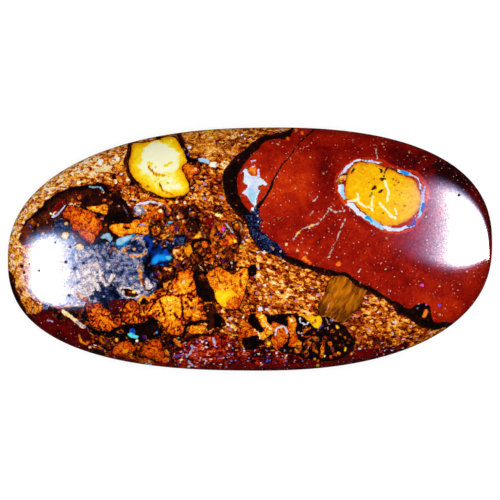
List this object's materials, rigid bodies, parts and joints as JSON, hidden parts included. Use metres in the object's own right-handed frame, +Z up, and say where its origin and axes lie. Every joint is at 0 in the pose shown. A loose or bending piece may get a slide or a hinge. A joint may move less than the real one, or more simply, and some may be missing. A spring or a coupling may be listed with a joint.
{
  "type": "polished boulder opal cabochon",
  "caption": "Oval boulder opal cabochon with a low polished dome and a flat lapped back, to lie on a surface or sit in a bezel.",
  "frame": {"origin": "middle of the flat back, under the centre of the outline's bounding box", "axes": "+X along the stone towards its red end, +Y across it, +Z up through the dome"},
  "size_m": [0.045, 0.0226, 0.007],
  "materials": {
    "boulder_opal": "high lapidary polish on the dome, satin lapped back"
  },
  "bodies": {
    "root": {"opal_cabochon": "boulder_opal"}
  },
  "joints": []
}
